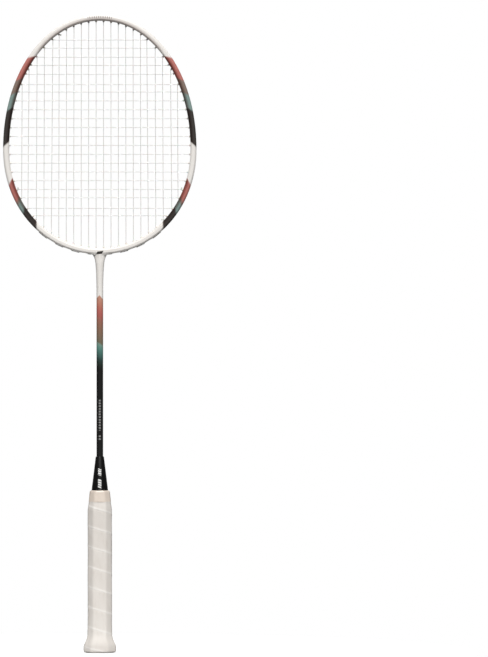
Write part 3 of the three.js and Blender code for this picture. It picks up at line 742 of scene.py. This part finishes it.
def main_route():
    """The mains are one string: across the top between the middle two, then down and up each side
    by turns, to a knot low on the outermost main of each side."""
    sides = []
    for side in ("left", "right"):
        parts = []
        for k in range(1, MAINS_EACH_SIDE + 1):
            bed = main_bed(MAIN_NUMBERS.index((side, k)))[1:-1]
            downwards = k % 2 == 1
            parts.append(bed[::-1] if downwards else bed)
            end = "bottom" if downwards else "top"
            here = hole_of(side, "main", k, end)
            if k < MAINS_EACH_SIDE:
                parts.append(loop(here, hole_of(side, "main", k + 1, end), -STRING_OFFSET))
        parts.append(tail(side, here, 1, -STRING_OFFSET)[::-1])
        sides.append(np.concatenate(parts))
    left, right = hole_of("left", "main", 1, "top"), hole_of("right", "main", 1, "top")
    over = dict(left, inner=left["inner"] + HEAD_LENGTH, outer=left["outer"] + HEAD_LENGTH)
    top = loop(over, right, -STRING_OFFSET)
    return np.concatenate([sides[0][::-1], top, sides[1]])


def cross_route():
    """The crosses are the second string, from a knot at the top left, across and back downwards."""
    parts = [tail("left", hole_of("left", "cross", CROSSES), 1, STRING_OFFSET)]
    for k in range(CROSSES, 0, -1):
        rightwards = (CROSSES - k) % 2 == 0
        bed = cross_bed(k)[1:-1]
        parts.append(bed if rightwards else bed[::-1])
        side = "right" if rightwards else "left"
        here = hole_of(side, "cross", k)
        if k > 1:
            parts.append(loop(here, hole_of(side, "cross", k - 1), STRING_OFFSET))
    parts.append(tail("right", here, -1, STRING_OFFSET)[::-1])
    return np.concatenate(parts)


def gaps(route):
    return np.linalg.norm(np.diff(route, axis=0), axis=1)


def string_grid(route, sides=8):
    """A circle carried along the route, across it in the plane of the head and square to both. The
    UV map holds metres along and turns around."""
    route = route[np.concatenate([[True], gaps(route) > 0.02 * MM])]
    along = unit(np.gradient(route, axis=0))
    across = unit(np.cross(BACK, along))
    up = np.cross(along, across)
    walked = np.concatenate([[0], np.cumsum(gaps(route))])
    uv = np.stack(np.meshgrid(walked, np.arange(sides + 1) / sides, indexing="ij"), axis=-1)
    return carried(route, across, up, circle(STRING_RADIUS, sides)), uv


def make_strings(material):
    for name, route in (("main_string", main_route()), ("cross_string", cross_route())):
        grid, uv = string_grid(route)
        Shell(f"{name}_woven").add(grid, uv).finish(material, name, "string_nylon")


# -------- finishes

def tint(red, green, blue):
    """A colour in the 0 to 255 steps of a paint chart, as linear light."""
    steps = np.array([red, green, blue]) / 255
    linear = np.where(steps <= 0.04045, steps / 12.92, ((steps + 0.055) / 1.055) ** 2.4)
    return (*linear.tolist(), 1.0)


def grey(level):
    return level, level, level, 1.0


class Signal:
    """One output of a node. Arithmetic on it adds Math nodes."""

    def __init__(self, finish, node, output=0):
        self.finish = finish
        self.node = node
        self.socket = node.outputs[output]

    def output(self, name):
        return Signal(self.finish, self.node, name)

    def maths(self, operation, *values):
        return self.finish.node("Math", dict(enumerate(values)), operation=operation)

    def fold(self, span):
        """A triangle wave, up and down between 0 and span."""
        return self.maths("PINGPONG", self, span)

    def __abs__(self):
        return self.maths("ABSOLUTE", self)

    def __add__(self, other):
        return self.maths("ADD", self, other)

    def __sub__(self, other):
        return self.maths("SUBTRACT", self, other)

    def __rsub__(self, other):
        return self.maths("SUBTRACT", other, self)

    def __mul__(self, other):
        return self.maths("MULTIPLY", self, other)

    __radd__ = __add__
    __rmul__ = __mul__


class Finish:
    """A material or a world. Its nodes come from node(), and lead to one shader."""

    def __init__(self, name, sockets=None, blocks=bpy.data.materials, shader="Principled BSDF"):
        self.block = blocks.new(name)
        self.block.use_nodes = True
        self.tree = self.block.node_tree
        self.shader = self.tree.nodes[shader]
        self.put(sockets or {})

    def put(self, sockets):
        for name, value in sockets.items():
            self.plug(self.shader.inputs[name], value)

    def look(self, colour, roughness, height, depth):
        """Sets the colour, the roughness and a bump of depth mm, and gives the material."""
        bump = self.node("Bump", {"Height": height, "Distance": depth * MM})
        self.put({"Base Color": colour, "Roughness": roughness, "Normal": bump})
        return self.block

    def plug(self, socket, value):
        if isinstance(value, Signal):
            self.tree.links.new(value.socket, socket)
        else:
            socket.default_value = value

    def node(self, kind, sockets, **settings):
        node = self.tree.nodes.new("ShaderNode" + kind)
        for name, value in settings.items():
            setattr(node, name, value)
        for key, value in sockets.items():
            self.plug(node.inputs[key], value)
        return Signal(self, node)

    def coordinates(self, kind="Object"):
        return self.node("TexCoord", {}).output(kind)

    def uv_map(self):
        return self.node("UVMap", {}, uv_map="surface")

    def parts(self, vector=None):
        """The X, Y and Z of a vector, or else of the place on the piece."""
        split = self.node("SeparateXYZ", {"Vector": vector or self.coordinates()})
        return [split.output(axis) for axis in "XYZ"]

    def noise(self, scale, detail=2.0, axes=None, place=None):
        """Noise over the piece, or over the place given. A small share for an axis draws it out
        along that axis."""
        place = place or self.coordinates()
        if axes:
            place = self.node("Mapping", {"Vector": place, "Scale": axes})
        return self.node("TexNoise", {"Vector": place, "Scale": scale, "Detail": detail})

    def step(self, value, low, high):
        """0 below low, 1 above high, smooth between them. With low above high it falls instead."""
        sockets = {"Value": value, "From Min": low, "From Max": high}
        return self.node("MapRange", sockets, interpolation_type="SMOOTHSTEP")

    def between(self, value, low, high, edge):
        """1 between low and high mm, falling to 0 over edge mm at both ends."""
        low, high, edge = low * MM, high * MM, edge * MM
        return self.step(value, low - edge, low + edge) * self.step(value, high + edge, high - edge)

    def front(self, y):
        """1 on the front of the racket, 0 on its back."""
        return self.step(y, 0.0, -0.5 * MM)

    def mix(self, share, first, second, blend="MIX"):
        sockets = {0: share, 6: first, 7: second}
        return self.node("Mix", sockets, data_type="RGBA", blend_type=blend).output(2)

    def shade(self, colour, share, darker):
        """A colour multiplied towards darker by a share."""
        return self.mix(share, colour, darker, "MULTIPLY")

    def ramp(self, value, stops):
        """Colours by value, from (place, colour) stops."""
        ramp = self.node("ValToRGB", {"Fac": value})
        elements = ramp.node.color_ramp.elements
        for place, _ in stops[2:]:
            elements.new(place)
        for element, (place, colour) in zip(elements, stops):
            element.position = place
            element.color = colour
        return ramp


def bands(edges, span, blur):
    """Ramp stops for colours that follow one another: each (start, colour), blurred over blur."""
    stops = [(0.0, edges[0][1])]
    for (start, colour), (_, before) in zip(edges[1:], edges):
        stops += [((start - blur / 2) / span, before), ((start + blur / 2) / span, colour)]
    return stops


WHITE = tint(228, 224, 219)
BLACK = tint(60, 56, 53)
TEAL = tint(130, 152, 147)
RED = tint(186, 116, 108)
BROWN = tint(134, 117, 107)
INNER_SHADOW = tint(165, 142, 136)


def lacquered(finish, colour, roughness=0.24):
    """Sprayed gloss: a faint ripple, dust nibs, and cloudy handling marks in its shine."""
    cloud = finish.noise(28.0, 4.0)
    ripple = finish.noise(620.0)
    nib = finish.step(finish.noise(1500.0), 0.7, 0.78)
    colour = finish.shade(colour, cloud * 0.10, tint(205, 200, 193))
    finish.put({"Specular IOR Level": 0.4, "Coat Weight": 0.12, "Coat Roughness": 0.1})
    return finish.look(colour, roughness + 0.16 * cloud + 0.1 * nib, ripple + 0.5 * nib, 0.012)


def frame_lacquer():
    """White with two groups of colours on each side, whose borders slant across the tube. They carry
    faint flake, and painted shade darkens them towards the strings, and the white at the top of the
    head too. A row of small grey ticks is printed on the front at the top of the head."""
    finish = Finish("frame_lacquer")
    along, out, _ = finish.parts(finish.uv_map())
    y = finish.parts()[1]
    at = along + out
    edges = [
        (0, WHITE), (74, BLACK), (95, TEAL), (104.5, BROWN), (108, RED), (128.5, WHITE),
        (168.5, BLACK), (206, TEAL), (223, BROWN), (239, RED), (266, WHITE),
    ]
    span = HEAD_LENGTH / 2
    stops = bands([(start * MM, colour) for start, colour in edges], span, 1.6 * MM)
    paint = finish.ramp(at * (1 / span), stops)
    flake = finish.step(finish.noise(5200.0, 0.0), 0.55, 0.8)
    streak = finish.noise(240.0, 3.0)
    printed = finish.between(at, 74, 128.5, 1) + finish.between(at, 168.5, 266, 1)
    # Painted shade: the colours darken towards the strings, on the inner side of the tube.
    inner = finish.step(out, 1.6 * MM, -2.4 * MM)
    paint = finish.mix(printed * flake * 0.12, paint, tint(170, 160, 152))
    paint = finish.shade(paint, printed * (0.95 * inner + 0.25 * streak), INNER_SHADOW)
    from_top = span - along
    # Painted shade: the white at the top of the head darkens towards the strings.
    crown_painted_shade = finish.step(out, 0.9 * MM, -1.6 * MM) * finish.step(from_top, 84 * MM, 70 * MM)
    paint = finish.shade(paint, 0.45 * crown_painted_shade, INNER_SHADOW)
    ticks = finish.step(from_top.fold(1.15 * MM), 0.45 * MM, 0.7 * MM)
    ticks = ticks * finish.step(from_top, 13 * MM, 12.6 * MM)
    ticks = ticks * finish.between(out, -0.6, 1.7, 0.15) * finish.front(y)
    return lacquered(finish, finish.mix(ticks * 0.6, paint, tint(128, 112, 108)))


def throat_lacquer():
    """White, with one small slanted bar printed on the front of the T."""
    finish = Finish("throat_lacquer")
    x, y, z = finish.parts()
    middle = -0.5 * 423.15
    bar = finish.between(z - 0.12 * x, 421.7, 424.6, 0.15)
    bar = bar * finish.between(x - 0.5 * z, middle - 3, middle + 3, 0.15)
    return lacquered(finish, finish.mix(bar * finish.front(y), WHITE, BLACK))


def shaft_lacquer():
    """From the top: white, then red, brown and teal that fade into one another, then black, with a
    column of small silver bars on the front of the black."""
    finish = Finish("shaft_lacquer")
    x, y, z = finish.parts()
    low, high = 290 * MM, 385 * MM
    at = z + 0.6 * x
    peak = z + 1.1 * abs(x + 0.4 * MM)
    fades = [
        (301, 22, 22, 21), (305.3, 30, 41, 35), (309.6, 40, 59, 55), (313.8, 58, 89, 83),
        (318, 69, 109, 100), (322.3, 86, 129, 119), (326.2, 112, 138, 126), (327.8, 104, 99, 81),
        (335, 119, 100, 83), (343.4, 132, 99, 81), (349, 141, 98, 82), (352, 150, 97, 85),
        (356, 164, 92, 84), (360.4, 172, 95, 89), (364.6, 176, 106, 92), (368.8, 181, 120, 102),
        (374, 184, 134, 114),
    ]
    stops = [((height * MM - low) / (high - low), tint(*colour)) for height, *colour in fades]
    paint = finish.ramp((at - low) * (1 / (high - low)), stops)
    paint = finish.mix(finish.step(peak, 377.4 * MM, 378.8 * MM), paint, WHITE)
    bars = finish.step((z - 224.6 * MM).fold(1.45 * MM), 0.5 * MM, 0.75 * MM)
    bars = bars * finish.between(z, 224, 268, 0.1) * (1 - finish.between(z, 230.5, 235, 0.1))
    bars = bars * finish.between(x, -1, 1, 0.12) * finish.front(y)
    paint = finish.mix(bars * 0.75, paint, tint(150, 150, 148))
    return lacquered(finish, paint, 0.26)


def moulded(finish, colour, darker, roughness, printed=0.0):
    """Injection-moulded plastic: a fine spark-eroded grain, faint flow lines and rubbed patches,
    with silver ink where it is printed."""
    grain = finish.noise(2300.0, 1.0)
    flow = finish.noise(320.0, 3.0, (1, 1, 0.12))
    rubbed = finish.step(finish.noise(75.0, 3.0), 0.5, 0.7)
    paint = finish.mix(flow * 0.5 + 0.3 * rubbed, colour, darker)
    paint = finish.mix(printed, paint, tint(205, 205, 203))
    return finish.look(paint, roughness + 0.16 * flow - 0.08 * rubbed, grain + 0.6 * flow, 0.02)


def cone_plastic():
    """Black, with silver bars printed up the front."""
    finish = Finish("cone_plastic", {"Specular IOR Level": 0.25})
    x, y, z = finish.parts()
    at = z + 0.3 * x
    bars = finish.between(at, 174.5, 183.5, 0.2) + finish.between(at, 187.5, 194.5, 0.2)
    bars = bars * finish.step((at - 174 * MM).fold(1.2 * MM), 0.22 * MM, 0.36 * MM)
    bars = bars * finish.between(x, -1.7, 1.7, 0.15) * finish.front(y)
    return moulded(finish, tint(6, 6, 6), tint(14, 13, 13), 0.3, bars)


def cap_plastic():
    return moulded(Finish("cap_plastic"), tint(206, 203, 196), tint(188, 184, 176), 0.42)


def grommet_nylon():
    finish = Finish("grommet_nylon", {"Subsurface Weight": 0.15, "Subsurface Scale": 0.8 * MM})
    return moulded(finish, tint(222, 218, 211), tint(196, 191, 183), 0.36)


def moulded_core():
    return moulded(Finish("moulded_core"), tint(66, 66, 68), tint(48, 48, 50), 0.5)


def disc_film():
    """Printed film: a brushed silver field with a darker ring and a small plain chevron."""
    finish = Finish("disc_film", {"Metallic": 0.55})
    x, y, _ = finish.parts()
    away = finish.node("VectorMath", {0: finish.coordinates()}, operation="LENGTH").output("Value")
    brushed = finish.noise(3000.0, 2.0, (1, 0.03, 1))
    ring = finish.between(away, 6.6, 7.2, 0.08)
    chevron = finish.between(y + 0.6 * abs(x), 0.6, 2.2, 0.08) * finish.between(x, -3.6, 3.6, 0.08)
    silver = finish.mix(brushed, tint(186, 186, 188), tint(206, 206, 206))
    paint = finish.mix(ring + chevron, silver, tint(52, 52, 56))
    return finish.look(paint, 0.28 + 0.2 * brushed, brushed, 0.01)


def grip_tape():
    """Foamed polyurethane tape: fine pebbled grain, soft creases, cloudy yellowing, and a paler,
    smoother strip along its lower edge, which is a painted highlight of the seam's edge. The UV map
    holds metres along the tape and up from that edge."""
    finish = Finish("grip_tape", {"Specular IOR Level": 0.3})
    flat = finish.uv_map()
    up = finish.parts(flat)[1]
    cells = {"Vector": flat, "Scale": 1400.0, "Smoothness": 0.6}
    pebble = finish.node("TexVoronoi", cells, feature="SMOOTH_F1")
    cloud = finish.noise(40.0, 4.0)
    fine = finish.noise(3800.0, 2.0, None, flat)
    crease = finish.noise(260.0, 3.0, (1, 0.25, 1), flat)
    # Painted highlight: a paler band along the tape's lower edge at each seam, also a little less
    # rough.
    painted_edge_highlight = finish.step(up, 3.2 * MM, 1.2 * MM)
    paint = finish.mix(cloud, tint(208, 204, 198), tint(198, 191, 184))
    paint = finish.shade(paint, 0.12 * finish.step(crease, 0.5, 0.75), tint(186, 172, 158))
    paint = finish.mix(0.35 * painted_edge_highlight, paint, tint(232, 230, 226))
    roughness = 0.5 + 0.16 * cloud + 0.06 * fine - 0.1 * painted_edge_highlight
    return finish.look(paint, roughness, 0.55 * pebble + 0.25 * fine + 0.8 * crease, 0.06)


def finishing_tape():
    """Thin matt vinyl: stretched along its length, so it carries fine lines round the handle."""
    finish = Finish("finishing_tape")
    lines = finish.noise(2400.0, 2.0, (0.1, 0.1, 1))
    cloud = finish.noise(60.0, 3.0)
    paint = finish.mix(0.5 * cloud + 0.4 * lines, tint(219, 207, 195), tint(196, 182, 168))
    return finish.look(paint, 0.3 + 0.16 * cloud, lines + 0.5 * cloud, 0.03)


def string_nylon():
    """White multifilament under a clear jacket: a fine braid that winds both ways, and faint grey
    scuffs. The UV map holds metres along the string and turns round it."""
    sockets = {"Subsurface Weight": 0.12, "Subsurface Scale": 0.3 * MM, "Coat Weight": 0.3}
    finish = Finish("string_nylon", sockets)
    along, round_it, _ = finish.parts(finish.uv_map())
    strands = along * (1 / (0.9 * MM))
    one_way, other_way = [(strands + turns * round_it).fold(0.5) for turns in (3, -3)]
    braid = one_way * other_way * 4.0
    scuff = finish.noise(90.0, 3.0)
    paint = finish.mix(braid, tint(214, 213, 209), tint(232, 231, 227))
    paint = finish.shade(paint, 0.25 * scuff, tint(190, 188, 184))
    return finish.look(paint, 0.3 + 0.2 * scuff, braid, 0.03)


def handle_wood():
    """Pale basswood: long grain up the handle, with darker growth lines and open pores."""
    finish = Finish("handle_wood")
    grain = finish.noise(420.0, 5.0, (1, 1, 0.06))
    pores = finish.noise(1900.0, 2.0, (1, 1, 0.03))
    pores = finish.step(pores, 0.62, 0.72)
    paint = finish.mix(grain, tint(214, 186, 146), tint(181, 143, 99))
    paint = finish.shade(paint, pores * 0.5, tint(120, 88, 58))
    return finish.look(paint, 0.55 + 0.2 * grain, grain - 0.5 * pores, 0.06)


def steel_wire():
    """Bright drawn wire with fine lines and light tarnish."""
    finish = Finish("steel_wire", {"Metallic": 1.0})
    drawn = finish.noise(3500.0, 2.0, (0.05, 1, 1))
    tarnish = finish.noise(220.0, 3.0)
    paint = finish.mix(tarnish, tint(196, 196, 198), tint(150, 144, 136))
    return finish.look(paint, 0.25 + 0.25 * tarnish, drawn, 0.01)


# -------- putting it together

make_hoop(frame_lacquer())
make_throat(throat_lacquer())
make_shaft(shaft_lacquer())
make_cone(cone_plastic())
make_grip(grip_tape())
make_finishing_tape(finishing_tape())
make_butt_cap(cap_plastic())
make_butt_disc(disc_film())
make_grommets(grommet_nylon())
make_strings(string_nylon())

kept = {"t_joint": moulded_core(), "handle_core": handle_wood()}
kept.update(dict.fromkeys(("grip_staple", "cap_brad_left", "cap_brad_right"), steel_wire()))
for node, material in kept.items():
    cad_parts[node].data.materials.clear()
    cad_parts[node].data.materials.append(material)


# -------- camera, light and floor

CAMERA_LENS = 350.0
SENSOR = 36.0
FRAMED_HEIGHT = 695.2 * MM
FRAMED_CENTRE = (152.55 * MM, 342.9 * MM)
FLOOR_RADIUS = 0.4


def point_at(thing, target):
    away = mathutils.Vector(target) - thing.location
    thing.rotation_euler = away.to_track_quat("-Z", "Y").to_euler()


def make_camera():
    """A long lens far in front, square to the head."""
    camera = placed("camera", bpy.data.cameras.new("camera"))
    camera.data.lens = CAMERA_LENS
    camera.data.sensor_width = SENSOR
    camera.data.clip_end = 100
    x, z = FRAMED_CENTRE
    camera.location = (x, -FRAMED_HEIGHT * CAMERA_LENS / SENSOR, z)
    point_at(camera, (x, 0, z))
    bpy.context.scene.camera = camera


def make_sun(name, direction, strength, softness):
    """A sun with a wide disc: as even and as soft as a large bank of lamps."""
    light = placed(name, bpy.data.lights.new(name, "SUN"))
    light.data.energy = strength
    light.data.angle = math.radians(softness)
    light.location = direction
    point_at(light, (0, 0, 0))


def make_world(seen, above, below):
    """Plain white where the camera looks past the object. The light it gives is a soft grey, weaker
    from below the horizon than from above it."""
    sky = Finish("studio", {"Color": (1, 1, 1, 1)}, bpy.data.worlds, "Background")
    bpy.context.scene.world = sky.block
    up = sky.parts(sky.coordinates("Generated"))[2]
    sockets = {"Value": up, "From Min": -0.3, "From Max": 0.3, "To Min": below, "To Max": above}
    given = sky.node("MapRange", sockets, interpolation_type="SMOOTHSTEP")
    path = sky.node("LightPath", {}).output("Is Camera Ray")
    sky.put({"Strength": sky.node("Mix", {0: path, 2: given, 3: seen})})


def make_floor():
    """A round sheet of matt board with a faint mottle, lit from beneath like a light table. It gives
    the object less light than it shows, so that no glare climbs the handle."""
    finish = Finish("floor_board", {"Specular IOR Level": 0.1, "Emission Strength": 1.0})
    mottle = finish.noise(9.0, 5.0)
    seen = finish.node("LightPath", {}).output("Is Camera Ray")
    board = finish.mix(mottle, grey(0.5), (0.48, 0.48, 0.478, 1))
    finish.put({
        "Base Color": finish.mix(seen, grey(0.5), board),
        "Emission Color": finish.mix(seen, grey(0.0), grey(0.58)),
        "Roughness": 0.8 + 0.1 * mottle,
    })
    sides = 96
    points = np.concatenate([circle(FLOOR_RADIUS, sides), np.zeros((sides, 1))], axis=1)
    mesh = bpy.data.meshes.new("floor")
    mesh.from_pydata(points.tolist(), [], [list(range(sides))])
    mesh.materials.append(finish.block)
    placed("floor", mesh)


make_camera()
make_sun("ceiling_bank", (0.03, -0.70, 0.71), 4.15, 30)
make_sun("rear_bank", (0.0, 0.85, 0.5), 1.7, 60)
make_world(1.0, 0.16, 0.07)
make_floor()
bpy.context.scene.view_settings.view_transform = "Standard"
